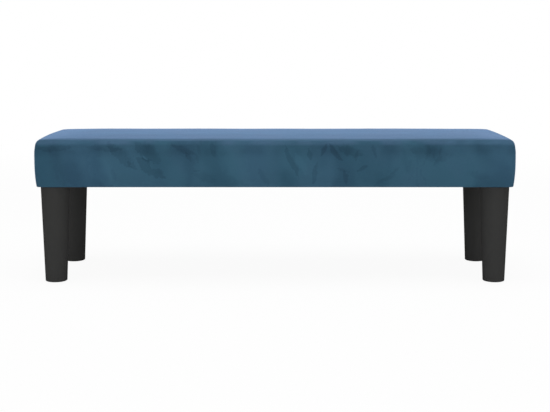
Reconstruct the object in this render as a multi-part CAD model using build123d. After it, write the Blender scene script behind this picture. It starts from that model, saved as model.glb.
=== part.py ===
from build123d import *
import math
import os

# Low upholstered bench: a foam-padded seat in velvet on four tapered round legs.
# Millimetres, +Z up, -Y is the front, origin on the floor under the seat's centre.
# Left and right are as seen from the front, so left is -X.

# Overall length and depth; the height of 300 is the sum of the legs, the frame, the board and the foam
seat_length = 1000.0
seat_depth = 300.0

# Seat form: sides fullest at mid height, drawn in to the frame at the lower edge and held in at the corners
fabric_thickness = 1.2
upholstery_gap = 0.3
lower_edge_padding = 1.5
crown_rise = 1.0
crown_flat_depth = 90.0
crown_flat_radius = 30.0
edge_radius = 16.5
full_side_height = 64.0
draw_in_power = 3.5
corner_hold = 5.0
lower_corner_hold = 0.3
lower_corner_radius = 5.0
upper_corner_radius = 14.0
side_shares = (0.0, 0.1, 0.25, 0.45, 0.7, 1.0)
edge_turns = (0.0, 30.0, 60.0, 90.0)
crown_shares = (0.0, 0.4, 1.0)

# Timber frame, seat board and foam slab
frame_side_inset = 12.0
rail_thickness = 15.0
rail_height = 60.0
board_thickness = 9.0
foam_thickness = 26.9
cross_rail_spacing = 326.0
corner_block_side = 70.0
corner_block_height = 22.0

# Fabric turned under the rails, and the cloth that closes the underside
hem_width = 14.0
dust_cover_thickness = 0.4
dust_cover_inset = 6.0

# Legs
leg_length = 200.0
leg_top_radius = 30.0
leg_foot_radius = 22.5
leg_wall = 3.5
leg_floor = 5.0
leg_foot_rounding = 2.0
leg_rim_rounding = 0.8
leg_boss_radius = 10.0
leg_rib_thickness = 3.0
leg_rib_height = 60.0
leg_rib_count = 4

# Glides under the legs
glide_radius = 16.0
glide_thickness = 3.0
glide_stand = 1.0
glide_gap = 0.2
glide_rounding = 0.4

# Leg studs and the tee nuts that take them
stud_radius = 4.0
stud_reach = 26.0
stud_sunk = 45.0
stud_head_flats = 13.0
stud_head_height = 5.3
stud_tip_chamfer = 1.0
stud_hole_gap = 0.5
thread_gap = 0.05
tee_nut_flange_radius = 9.5
tee_nut_flange_thickness = 1.2
tee_nut_barrel_radius = 5.2
tee_nut_barrel_length = 10.0
tee_nut_prong_width = 2.2
tee_nut_prong_thickness = 0.9
tee_nut_prong_length = 6.0
tee_nut_prong_count = 4

# Countersunk wood screws
screw_radius = 2.0
screw_head_radius = 4.0
screw_head_height = 2.6
screw_tip_length = 4.0
frame_screw_length = 40.0
board_screw_length = 32.0
rail_screw_inset = 15.0
block_screw_insets = (15.0, 35.0)
board_screw_pitch = 160.0
board_screw_end_spacing = 120.0
board_screws_per_side = 6

# Staples of flat wire
staple_width = 10.0
staple_wire = 0.7
staple_wire_height = 0.6
staple_leg_length = 8.0
staple_proud = 0.3
hem_staple_pitch = 40.0
hem_staple_inset = 11.5
hem_staple_shift_share = 0.5
cloth_staple_pitch = 60.0
cloth_staple_inset = 8.5
cloth_staple_shift_share = 0.0
staple_leg_clearance = 4.0

# One overrun for every cut that has to pass a face
overrun = 5.0

# Levels, worked out from the floor upwards
leg_top = glide_stand + leg_length
dust_cover_top = leg_top + dust_cover_thickness
seat_bottom = dust_cover_top
frame_bottom = seat_bottom + fabric_thickness
rail_top = frame_bottom + rail_height
board_top = rail_top + board_thickness
seat_height = board_top + foam_thickness + upholstery_gap + fabric_thickness
edge_top = seat_height - crown_rise
edge_start = edge_top - edge_radius

# Frame and legs in plan
frame_length = seat_length - 2 * frame_side_inset
frame_depth = seat_depth - 2 * frame_side_inset
inner_length = frame_length - 2 * rail_thickness
inner_depth = frame_depth - 2 * rail_thickness
leg_x = frame_length / 2 - leg_top_radius
leg_y = frame_depth / 2 - leg_top_radius
rail_line_x = (frame_length - rail_thickness) / 2
rail_line_y = (frame_depth - rail_thickness) / 2
lower_draw_in = frame_side_inset - fabric_thickness - upholstery_gap - lower_edge_padding

on_base = (Align.CENTER, Align.CENTER, Align.MIN)
below_base = (Align.CENTER, Align.CENTER, Align.MAX)

corners = {
    "front_left": (-1, -1),
    "front_right": (1, -1),
    "back_left": (-1, 1),
    "back_right": (1, 1),
}


def seat_section(level, side_inset, hold, corner_radius):
    """One level of the padded seat: four slightly bowed sides with rounded corners."""
    x, y = seat_length / 2 - side_inset, seat_depth / 2 - side_inset
    corner_x, corner_y = x - hold, y - hold
    outline = [
        ThreePointArc((-corner_x, -corner_y), (0, -y), (corner_x, -corner_y)),
        ThreePointArc((corner_x, -corner_y), (x, 0), (corner_x, corner_y)),
        ThreePointArc((corner_x, corner_y), (0, y), (-corner_x, corner_y)),
        ThreePointArc((-corner_x, corner_y), (-x, 0), (-corner_x, -corner_y)),
    ]
    face = make_face(outline)
    return Pos(0, 0, level) * fillet(face.vertices(), corner_radius)


def side_sections(layer):
    """The padded sides, from the drawn-in lower edge up to where the top edge starts to turn."""
    sections = []
    for share in side_shares:
        level = seat_bottom + share * (edge_start - seat_bottom)
        fullness = min((level - seat_bottom) / full_side_height, 1)
        drawn = (1 - fullness) ** draw_in_power
        hold = corner_hold + (lower_corner_hold - corner_hold) * drawn
        radius = upper_corner_radius + (lower_corner_radius - upper_corner_radius) * drawn
        sections.append(seat_section(level, lower_draw_in * drawn + layer, hold, radius - layer))
    return sections


def edge_sections(layer):
    """The rounded edge between the sides and the top."""
    sections = []
    radius = edge_radius - layer
    for turn in edge_turns:
        level = edge_start + radius * math.sin(math.radians(turn))
        inset = edge_radius - radius * math.cos(math.radians(turn))
        sections.append(seat_section(level, inset, corner_hold, upper_corner_radius - layer))
    return sections


def crown_sections(layer):
    """The low crown of the top, up to its flat middle."""
    sections = []
    crown_run = (seat_depth - crown_flat_depth) / 2 - edge_radius
    for share in crown_shares:
        level = edge_top + crown_rise * (1 - (1 - share) ** 2) - layer
        radius = upper_corner_radius + (crown_flat_radius - upper_corner_radius) * share
        sections.append(seat_section(level, edge_radius + share * crown_run, corner_hold, radius - layer))
    return sections


def seat_form(layer):
    """The padded seat as a closed solid, taken in by layer on its sides and top."""
    return loft(side_sections(layer)) + loft(edge_sections(layer)) + loft(crown_sections(layer))


def slab(length, depth, height, level):
    """A box centred on the Z axis, standing on a level."""
    return Pos(0, 0, level) * Box(length, depth, height, align=on_base)


def wood_screw(length):
    """A countersunk wood screw with its head's face at the origin, driven along -Z."""
    tip_start = length - screw_tip_length
    outline = Polyline(
        (0, 0),
        (screw_head_radius, 0),
        (screw_radius, -screw_head_height),
        (screw_radius, -tip_start),
        (0, -length),
        close=True,
    )
    return revolve(Plane.XZ * make_face(outline), Axis.Z)


def screw_along_y(x, side, level, length):
    """A screw through the outer face of a long rail, towards the frame's middle."""
    return Pos(x, side * frame_depth / 2, level) * Rot(-side * 90, 0, 0) * wood_screw(length)


def screw_along_x(side, y, level, length):
    """A screw through the outer face of an end rail, towards the frame's middle."""
    return Pos(side * frame_length / 2, y, level) * Rot(0, side * 90, 0) * wood_screw(length)


def rail_screws():
    """Two screws at each corner, through the long rail into the end rail."""
    levels = (frame_bottom + rail_screw_inset, rail_top - rail_screw_inset)
    return [
        screw_along_y(sx * rail_line_x, sy, level, frame_screw_length)
        for sx, sy in corners.values()
        for level in levels
    ]


def cross_rail_screws():
    """Two screws at each end of each cross rail."""
    levels = (frame_bottom + rail_screw_inset, rail_top - rail_screw_inset)
    return [
        screw_along_y(sx * cross_rail_spacing / 2, sy, level, frame_screw_length)
        for sx, sy in corners.values()
        for level in levels
    ]


def corner_block_screws():
    """Screws through both rails into each corner block."""
    level = frame_bottom + corner_block_height / 2
    screws = []
    for sx, sy in corners.values():
        for inset in block_screw_insets:
            x = sx * (inner_length / 2 - corner_block_side + inset)
            y = sy * (inner_depth / 2 - corner_block_side + inset)
            screws.append(screw_along_y(x, sy, level, frame_screw_length))
            screws.append(screw_along_x(sx, y, level, frame_screw_length))
    return screws


def board_screws():
    """Screws down through the seat board into the four rails."""
    first = -(board_screws_per_side - 1) / 2 * board_screw_pitch
    places = [
        (first + i * board_screw_pitch, side * rail_line_y)
        for i in range(board_screws_per_side)
        for side in (-1, 1)
    ]
    places += [(sx * rail_line_x, sy * board_screw_end_spacing / 2) for sx, sy in corners.values()]
    return [Pos(x, y, board_top) * wood_screw(board_screw_length) for x, y in places]


def staple():
    """A staple driven upwards: its crown lies along X with its underside at the origin."""
    crown = Box(staple_width, staple_wire, staple_wire_height, align=on_base)
    leg = Box(staple_wire, staple_wire, staple_wire_height + staple_leg_length, align=on_base)
    offset = (staple_width - staple_wire) / 2
    return crown + Pos(offset, 0, 0) * leg + Pos(-offset, 0, 0) * leg


def staple_row(pitch, shift_share, reach):
    """Distances from the middle of a rail at which staples sit, up to a reach either side."""
    count = int(2 * reach // pitch)
    first = -reach + (2 * reach - count * pitch) / 2 + shift_share * pitch
    return [first + i * pitch for i in range(count + 1) if first + i * pitch <= reach]


def staples(pitch, inset, shift_share, level):
    """A row of staples along all four rails, between the legs."""
    one = staple()
    clear = leg_top_radius + staple_leg_clearance + staple_width / 2
    row = []
    along_sides = staple_row(pitch, shift_share, leg_x - clear)
    along_ends = staple_row(pitch, shift_share, leg_y - clear)
    for side in (-1, 1):
        side_y = side * (frame_depth / 2 - inset)
        end_x = side * (frame_length / 2 - inset)
        row += [Pos(x, side_y, level) * one for x in along_sides]
        row += [Pos(end_x, y, level) * Rot(0, 0, 90) * one for y in along_ends]
    return row


def long_rail(side):
    """The front or back rail, as long as the frame."""
    return Pos(0, side * rail_line_y, 0) * slab(frame_length, rail_thickness, rail_height, frame_bottom)


def end_rail(side):
    """The rail at one end, between the long rails."""
    return Pos(side * rail_line_x, 0, 0) * slab(rail_thickness, inner_depth, rail_height, frame_bottom)


def cross_rail(side):
    """One of the two stretchers under the seat board."""
    rail = slab(rail_thickness, inner_depth, rail_height, frame_bottom)
    return Pos(side * cross_rail_spacing / 2, 0, 0) * rail


def corner_block(sx, sy):
    """The block in a corner of the frame, bored for a leg stud."""
    x = sx * (inner_length - corner_block_side) / 2
    y = sy * (inner_depth - corner_block_side) / 2
    block = Pos(x, y, 0) * slab(corner_block_side, corner_block_side, corner_block_height, frame_bottom)
    bore = Cylinder(stud_radius + stud_hole_gap, corner_block_height, align=on_base)
    return block - Pos(sx * leg_x, sy * leg_y, frame_bottom) * bore - tee_nut(sx, sy)


def tee_nut(sx, sy):
    """A tee nut set into the top of a corner block, with its prongs in the wood."""
    block_top = frame_bottom + corner_block_height
    flange = Cylinder(tee_nut_flange_radius, tee_nut_flange_thickness, align=on_base)
    barrel = Cylinder(tee_nut_barrel_radius, tee_nut_barrel_length, align=below_base)
    nut = flange + barrel
    prong = Box(tee_nut_prong_thickness, tee_nut_prong_width, tee_nut_prong_length, align=below_base)
    prong = Pos(tee_nut_flange_radius - tee_nut_prong_thickness, 0, 0) * prong
    for i in range(tee_nut_prong_count):
        nut += Rot(0, 0, i * 360 / tee_nut_prong_count) * prong
    thread_length = tee_nut_flange_thickness + tee_nut_barrel_length
    thread = Cylinder(stud_radius + thread_gap, thread_length, align=on_base)
    nut -= Pos(0, 0, -tee_nut_barrel_length) * thread
    return Pos(sx * leg_x, sy * leg_y, block_top) * nut


def leg_stud(sx, sy):
    """The threaded stud moulded into a leg, with a hexagon head that keeps it from turning."""
    shank_length = stud_sunk + stud_reach
    shank = Cylinder(stud_radius, shank_length, align=on_base)
    shank = chamfer(shank.edges().sort_by(Axis.Z)[-1], stud_tip_chamfer)
    head = extrude(RegularPolygon(stud_head_flats / 2, 6, major_radius=False), -stud_head_height)
    return Pos(sx * leg_x, sy * leg_y, leg_top - stud_sunk) * (shank + head)


def leg(sx, sy):
    """A moulded leg: a tapered shell with a central boss and ribs, open under the seat."""
    taper = (leg_top_radius - leg_foot_radius) / leg_length
    cavity_foot_radius = leg_foot_radius + taper * leg_floor - leg_wall
    cavity_height = leg_length - leg_floor
    body = Cone(leg_foot_radius, leg_top_radius, leg_length, align=on_base)
    rims = body.edges().filter_by(GeomType.CIRCLE).sort_by(Axis.Z)
    body = fillet(rims[0], leg_foot_rounding)
    rims = body.edges().filter_by(GeomType.CIRCLE).sort_by(Axis.Z)
    body = fillet(rims[-1], leg_rim_rounding)
    cavity = Cone(cavity_foot_radius, leg_top_radius - leg_wall, cavity_height, align=on_base)
    cavity = Pos(0, 0, leg_floor) * cavity
    core = Pos(0, 0, leg_floor) * Cylinder(leg_boss_radius, cavity_height, align=on_base)
    rib = Box(2 * leg_top_radius, leg_rib_thickness, leg_rib_height, align=on_base)
    rib = Pos(0, 0, leg_length - leg_rib_height) * rib
    for i in range(leg_rib_count // 2):
        core += Rot(0, 0, i * 360 / leg_rib_count) * rib
    recess_depth = glide_thickness - glide_stand
    recess = Cylinder(glide_radius + glide_gap, recess_depth, align=on_base)
    moulding = body - (cavity - core) - recess
    return Pos(sx * leg_x, sy * leg_y, glide_stand) * moulding - leg_stud(sx, sy)


def foot_glide(sx, sy):
    """The soft disc stuck in the recess under a leg, proud of it by its stand."""
    disc = Cylinder(glide_radius, glide_thickness, align=on_base)
    disc = fillet(disc.edges().filter_by(GeomType.CIRCLE).sort_by(Axis.Z)[0], glide_rounding)
    return Pos(sx * leg_x, sy * leg_y, 0) * disc


def velvet_cover():
    """The fabric over the top and sides, turned under the rails all round as a hem."""
    shell_top = seat_height + overrun
    above_hem = slab(seat_length, seat_depth, shell_top - frame_bottom, frame_bottom)
    inside = seat_form(fabric_thickness) & above_hem
    hem_length, hem_depth = frame_length - 2 * hem_width, frame_depth - 2 * hem_width
    return seat_form(0) - inside - slab(hem_length, hem_depth, 2 * overrun, frame_bottom - overrun)


def padding():
    """The foam and wadding under the cover, before it is cut into its pieces."""
    above_hem = slab(seat_length, seat_depth, seat_height - frame_bottom, frame_bottom)
    return seat_form(fabric_thickness + upholstery_gap) & above_hem


def dust_cover():
    """The cloth that closes the underside, with a hole for each leg stud."""
    cloth_length = frame_length - 2 * dust_cover_inset
    cloth_depth = frame_depth - 2 * dust_cover_inset
    cloth = slab(cloth_length, cloth_depth, dust_cover_thickness, leg_top)
    hole = Cylinder(stud_radius + stud_hole_gap, 2 * dust_cover_thickness)
    for sx, sy in corners.values():
        cloth -= Pos(sx * leg_x, sy * leg_y, leg_top) * hole
    return cloth


def build():
    """Every piece of the bench by its name."""
    rail_set, cross_set = rail_screws(), cross_rail_screws()
    block_set, board_set = corner_block_screws(), board_screws()
    hem_set = staples(hem_staple_pitch, hem_staple_inset, hem_staple_shift_share, seat_bottom)
    cloth_level = leg_top - staple_proud
    cloth_set = staples(cloth_staple_pitch, cloth_staple_inset, cloth_staple_shift_share, cloth_level)
    driven_in_rails = rail_set + cross_set + block_set + board_set + hem_set + cloth_set
    pieces = {}

    pad = padding()
    above_board = slab(seat_length, seat_depth, seat_height - board_top, board_top)
    pieces["top_foam"] = pad & above_board
    lower_pad = pad - slab(frame_length, frame_depth, board_top - frame_bottom, frame_bottom) - above_board
    strip_depth = (seat_depth - frame_depth) / 2
    strip_length = (seat_length - frame_length) / 2
    strip_height = board_top - frame_bottom
    side_strip = slab(seat_length, strip_depth, strip_height, frame_bottom)
    end_strip = slab(strip_length, frame_depth, strip_height, frame_bottom)
    for name, side in (("front_wadding", -1), ("back_wadding", 1)):
        pieces[name] = lower_pad & (Pos(0, side * (frame_depth + strip_depth) / 2, 0) * side_strip)
    for name, side in (("left_wadding", -1), ("right_wadding", 1)):
        pieces[name] = lower_pad & (Pos(side * (frame_length + strip_length) / 2, 0, 0) * end_strip)

    pieces["velvet_cover"] = velvet_cover() - hem_set - cloth_set
    pieces["dust_cover"] = dust_cover() - cloth_set
    pieces["seat_board"] = slab(frame_length, frame_depth, board_thickness, rail_top) - board_set
    pieces["front_rail"] = long_rail(-1) - driven_in_rails
    pieces["back_rail"] = long_rail(1) - driven_in_rails
    pieces["left_end_rail"] = end_rail(-1) - driven_in_rails
    pieces["right_end_rail"] = end_rail(1) - driven_in_rails
    pieces["left_cross_rail"] = cross_rail(-1) - cross_set
    pieces["right_cross_rail"] = cross_rail(1) - cross_set
    pieces["rail_screws"] = Compound(rail_set)
    pieces["cross_rail_screws"] = Compound(cross_set)
    pieces["corner_block_screws"] = Compound(block_set)
    pieces["board_screws"] = Compound(board_set)
    pieces["hem_staples"] = Compound(hem_set)
    pieces["dust_cover_staples"] = Compound(cloth_set)

    for name, (sx, sy) in corners.items():
        pieces[name + "_corner_block"] = corner_block(sx, sy) - block_set
        pieces[name + "_tee_nut"] = tee_nut(sx, sy)
        pieces[name + "_leg"] = leg(sx, sy)
        pieces[name + "_leg_stud"] = leg_stud(sx, sy)
        pieces[name + "_glide"] = foot_glide(sx, sy)
    return pieces


def main():
    os.makedirs("parts", exist_ok=True)
    for name, piece in build().items():
        export_step(piece, os.path.join("parts", name + ".step"))


main()
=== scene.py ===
import bpy
import bmesh
import math
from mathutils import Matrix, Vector, noise


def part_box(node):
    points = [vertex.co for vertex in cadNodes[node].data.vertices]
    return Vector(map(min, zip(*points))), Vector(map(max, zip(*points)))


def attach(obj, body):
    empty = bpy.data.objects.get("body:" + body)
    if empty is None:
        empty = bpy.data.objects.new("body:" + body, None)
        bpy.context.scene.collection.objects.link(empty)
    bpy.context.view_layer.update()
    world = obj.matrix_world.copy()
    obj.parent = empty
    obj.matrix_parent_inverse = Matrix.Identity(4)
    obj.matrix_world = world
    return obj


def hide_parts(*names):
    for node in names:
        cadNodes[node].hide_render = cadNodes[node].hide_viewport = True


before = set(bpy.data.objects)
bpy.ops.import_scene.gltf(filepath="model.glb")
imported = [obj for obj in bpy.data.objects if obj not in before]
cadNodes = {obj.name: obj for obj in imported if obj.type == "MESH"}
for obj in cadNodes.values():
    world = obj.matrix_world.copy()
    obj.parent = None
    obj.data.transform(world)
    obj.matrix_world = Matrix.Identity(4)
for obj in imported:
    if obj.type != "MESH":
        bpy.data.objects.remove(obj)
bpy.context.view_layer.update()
coverLow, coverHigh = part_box("velvet_cover")
mm = 0.001
print("frame loaded,", len(cadNodes), "nodes")


# Camera, floor and light

cameraValues = {
    "photoWidth": 550,          # pixels
    "focalLength": 1104.0,      # pixels
    "shiftDown": 90.4,          # pixels
    "sensor": 36.0,
    "place": (0.0, -2.394, 0.5068),
    "pitchDown": 4.0,           # degrees
}

stageValues = {
    "floorSize": 60.0,
    "floorDrop": 0.2 * mm,      # keeps the floor clear of the glides' faces
    "floorColour": (0.85, 0.85, 0.85),
    "floorGlow": 0.93,          # share of the floor that shows as plain white, near the bench
    "glowFrom": 1.2,            # metres from the bench where the floor starts to turn all white
    "glowTo": 3.0,
    "skyLight": 0.40,
}

lampValues = {
    # name: (place, aimed at, width, height, power in watts)
    "overhead": ((0.0, -0.35, 2.4), (0.0, 0.0, 0.25), 2.6, 1.6, 40.0),
    "frontFill": ((-0.4, -3.4, 0.85), (0.0, 0.0, 0.2), 4.4, 1.4, 23.0),
    "leftFill": ((-3.2, -1.9, 0.6), (0.0, 0.0, 0.15), 2.2, 1.1, 18.0),
    "rightFill": ((3.2, -1.9, 0.6), (0.0, 0.0, 0.15), 2.2, 1.1, 18.0),
    "lowFill": ((0.0, -3.0, 0.14), (0.0, 0.0, 0.1), 3.2, 0.24, 6.0),
    "backFill": ((0.4, 3.2, 1.4), (0.0, 0.0, 0.2), 2.8, 1.6, 24.0),
}


def makeCamera(values):
    data = bpy.data.cameras.new("photoCamera")
    data.sensor_width = values["sensor"]
    data.lens = values["focalLength"] / values["photoWidth"] * values["sensor"]
    data.shift_y = -values["shiftDown"] / values["photoWidth"]
    camera = bpy.data.objects.new("photoCamera", data)
    camera.location = values["place"]
    camera.rotation_euler = (math.radians(90 - values["pitchDown"]), 0, 0)
    bpy.context.scene.collection.objects.link(camera)
    bpy.context.scene.camera = camera


def addNode(tree, kind, inputs=None, **settings):
    made = tree.nodes.new(kind)
    for setting, value in settings.items():
        setattr(made, setting, value)
    for socket, value in (inputs or {}).items():
        if isinstance(value, bpy.types.NodeSocket):
            tree.links.new(value, made.inputs[socket])
        else:
            made.inputs[socket].default_value = value
    return made


def calc(tree, operation, first, second=0.0, clamp=False):
    made = addNode(tree, "ShaderNodeMath", {0: first, 1: second}, operation=operation, use_clamp=clamp)
    return made.outputs[0]


def plus(tree, first, second):
    return calc(tree, "ADD", first, second)


def minus(tree, first, second):
    return calc(tree, "SUBTRACT", first, second)


def times(tree, first, second):
    return calc(tree, "MULTIPLY", first, second)


def over(tree, first, second):
    return calc(tree, "DIVIDE", first, second)


def remap(tree, value, low, high, toLow=0.0, toHigh=1.0):
    inputs = {0: value, 1: low, 2: high, 3: toLow, 4: toHigh}
    return addNode(tree, "ShaderNodeMapRange", inputs, interpolation_type="SMOOTHSTEP").outputs[0]


def seenDirectly(tree):  # camera, glossy and transmission rays, so metal shows the white surroundings too
    path = addNode(tree, "ShaderNodeLightPath")
    mirrored = calc(tree, "MAXIMUM", path.outputs["Is Glossy Ray"], path.outputs["Is Transmission Ray"])
    return calc(tree, "MAXIMUM", path.outputs["Is Camera Ray"], mirrored)


def makeFloor(values):
    half = values["floorSize"] / 2
    mesh = bpy.data.meshes.new("floor")
    corners = [(x * half, y * half, -values["floorDrop"]) for x, y in ((-1, -1), (1, -1), (1, 1), (-1, 1))]
    mesh.from_pydata(corners, [], [(0, 1, 2, 3)])
    floor = bpy.data.objects.new("floor", mesh)
    bpy.context.scene.collection.objects.link(floor)
    material = bpy.data.materials.new("paleFloor")
    material.use_nodes = True
    tree = material.node_tree
    tree.nodes.clear()
    diffuse = addNode(tree, "ShaderNodeBsdfDiffuse", {"Color": (*values["floorColour"], 1)})
    glow = addNode(tree, "ShaderNodeEmission", {"Color": (1, 1, 1, 1), "Strength": 1.0})
    place = addNode(tree, "ShaderNodeTexCoord").outputs["Object"]
    away = addNode(tree, "ShaderNodeVectorMath", {0: place}, operation="LENGTH").outputs["Value"]
    glowing = remap(tree, away, values["glowFrom"], values["glowTo"], values["floorGlow"], 1.0)
    share = times(tree, seenDirectly(tree), glowing)
    mixed = addNode(tree, "ShaderNodeMixShader", {0: share, 1: diffuse.outputs[0], 2: glow.outputs[0]})
    addNode(tree, "ShaderNodeOutputMaterial", {"Surface": mixed.outputs[0]})
    mesh.materials.append(material)


def makeWorld(values):
    world = bpy.data.worlds.new("studio")
    bpy.context.scene.world = world
    world.use_nodes = True
    tree = world.node_tree
    tree.nodes.clear()
    sky, white = [
        addNode(tree, "ShaderNodeBackground", {"Color": (1, 1, 1, 1), "Strength": strength}).outputs[0]
        for strength in (values["skyLight"], 1.0)
    ]
    mixed = addNode(tree, "ShaderNodeMixShader", {0: seenDirectly(tree), 1: sky, 2: white})
    addNode(tree, "ShaderNodeOutputWorld", {"Surface": mixed.outputs[0]})


def makeLamps(lamps):
    for name, (place, target, width, height, power) in lamps.items():
        data = bpy.data.lights.new(name, "AREA")
        data.shape = "RECTANGLE"
        data.size = width
        data.size_y = height
        data.energy = power
        lamp = bpy.data.objects.new(name, data)
        lamp.location = place
        lamp.rotation_mode = "QUATERNION"
        lamp.rotation_quaternion = (Vector(target) - Vector(place)).to_track_quat("-Z", "Y")
        lamp.visible_camera = False
        bpy.context.scene.collection.objects.link(lamp)


makeCamera(cameraValues)
makeFloor(stageValues)
makeWorld(stageValues)
makeLamps(lampValues)
bpy.context.scene.view_settings.view_transform = "Standard"
print("camera, floor and light ready")


# Shared shader groups and node helpers

def mixColour(tree, share, first, second, blend="MIX"):
    made = addNode(tree, "ShaderNodeMix", {0: share, 6: first, 7: second}, data_type="RGBA", blend_type=blend)
    return made.outputs[2]


def mixValue(tree, share, first, second):
    return addNode(tree, "ShaderNodeMix", {0: share, 2: first, 3: second}).outputs[0]


def axesOf(tree, vector):
    return addNode(tree, "ShaderNodeSeparateXYZ", {0: vector}).outputs


def vectorOf(tree, x, y, z):
    return addNode(tree, "ShaderNodeCombineXYZ", {0: x, 1: y, 2: z}).outputs[0]


def mapped(tree, vector, scale, turn=(0, 0, 0)):
    return addNode(tree, "ShaderNodeMapping", {"Vector": vector, "Rotation": turn, "Scale": scale}).outputs[0]


def noiseAt(tree, vector, scale, detail=2.0, roughness=0.5, distortion=0.0):
    inputs = {"Vector": vector, "Scale": scale, "Detail": detail, "Roughness": roughness}
    return addNode(tree, "ShaderNodeTexNoise", {**inputs, "Distortion": distortion}).outputs


def shifted(tree, vector, wobble, reach):  # moved by up to half the reach each way, as a noise's colour says
    centred = addNode(tree, "ShaderNodeVectorMath", {0: wobble, 1: (0.5, 0.5, 0.5)}, operation="SUBTRACT")
    moved = addNode(tree, "ShaderNodeVectorMath", {0: centred.outputs[0], 3: reach}, operation="SCALE")
    return addNode(tree, "ShaderNodeVectorMath", {0: vector, 1: moved.outputs[0]}, operation="ADD").outputs[0]


def newGroup(name, inputs, outputs):
    group = bpy.data.node_groups.new(name, "ShaderNodeTree")
    for socket, kind, value in inputs:
        made = group.interface.new_socket(socket, in_out="INPUT", socket_type="NodeSocket" + kind)
        if value is not None:
            made.default_value = value
    for socket, kind in outputs:
        group.interface.new_socket(socket, in_out="OUTPUT", socket_type="NodeSocket" + kind)
    return group, addNode(group, "NodeGroupInput").outputs


def useGroup(tree, group, inputs):
    return addNode(tree, "ShaderNodeGroup", inputs, node_tree=group).outputs


def fineSurfaceGroup():  # a fine even grain and slow cloudy patches
    sockets = [("Vector", "Vector", None), ("Grain Scale", "Float", 900.0), ("Patch Scale", "Float", 12.0)]
    group, given = newGroup("fineSurface", sockets, [("Grain", "Float"), ("Patches", "Float")])
    grain = noiseAt(group, given["Vector"], given["Grain Scale"], 3.0, 0.6)[0]
    patches = noiseAt(group, given["Vector"], given["Patch Scale"], 3.0, 0.55, 0.3)[0]
    addNode(group, "NodeGroupOutput", {"Grain": grain, "Patches": patches})
    return group


def woodGrainGroup():  # growth lines that run along X of the vector it is given, with pores and colour drift
    sockets = [("Vector", "Vector", None), ("Line Scale", "Float", 90.0), ("Wander", "Float", 0.012)]
    outputs = [("Lines", "Float"), ("Pores", "Float"), ("Drift", "Float")]
    group, given = newGroup("woodGrain", sockets, outputs)
    slow = mapped(group, given["Vector"], (1.2, 9.0, 9.0))
    bent = shifted(group, given["Vector"], noiseAt(group, slow, 2.0, 2.0)["Color"], given["Wander"])
    waves = {
        "Vector": mapped(group, bent, (0.06, 1.0, 0.7)),
        "Scale": given["Line Scale"],
        "Distortion": 1.5,
        "Detail": 2.0,
        "Detail Scale": 0.6,
    }
    lines = addNode(group, "ShaderNodeTexWave", waves, bands_direction="Y", wave_profile="SAW").outputs["Fac"]
    pores = noiseAt(group, mapped(group, given["Vector"], (0.04, 1.0, 1.0)), 1400.0, 2.0, 0.7)[0]
    slowTint = noiseAt(group, given["Vector"], 5.0, 2.0)[0]
    addNode(group, "NodeGroupOutput", {"Lines": lines, "Pores": pores, "Drift": slowTint})
    return group


fineSurface = fineSurfaceGroup()
woodGrain = woodGrainGroup()


def startMaterial(name, fixed):  # a Principled surface with its constant values on its own sockets
    material = bpy.data.materials.new(name)
    material.use_nodes = True
    tree = material.node_tree
    tree.nodes.clear()
    surface = addNode(tree, "ShaderNodeBsdfPrincipled", fixed)
    addNode(tree, "ShaderNodeOutputMaterial", {"Surface": surface.outputs[0]})
    place = addNode(tree, "ShaderNodeTexCoord").outputs["Object"]
    return material, tree, surface, place


def dress(tree, surface, colour, height, strength, relief, rough=None):  # what changes over the surface
    tree.links.new(colour, surface.inputs["Base Color"])
    if rough is not None:
        tree.links.new(rough, surface.inputs["Roughness"])
    bump = addNode(tree, "ShaderNodeBump", {"Height": height, "Strength": strength, "Distance": relief})
    tree.links.new(bump.outputs[0], surface.inputs["Normal"])


def fineAt(tree, place, values):
    scales = {"Grain Scale": values["grainScale"], "Patch Scale": values["patchScale"]}
    return useGroup(tree, fineSurface, {"Vector": place, **scales})


def grainAt(tree, vector, values):
    scales = {"Line Scale": values["lineScale"], "Wander": values["wander"]}
    return useGroup(tree, woodGrain, {"Vector": vector, **scales})


# Velvet: brushed nap in soft patches and marks, with a bluish sheen

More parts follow.
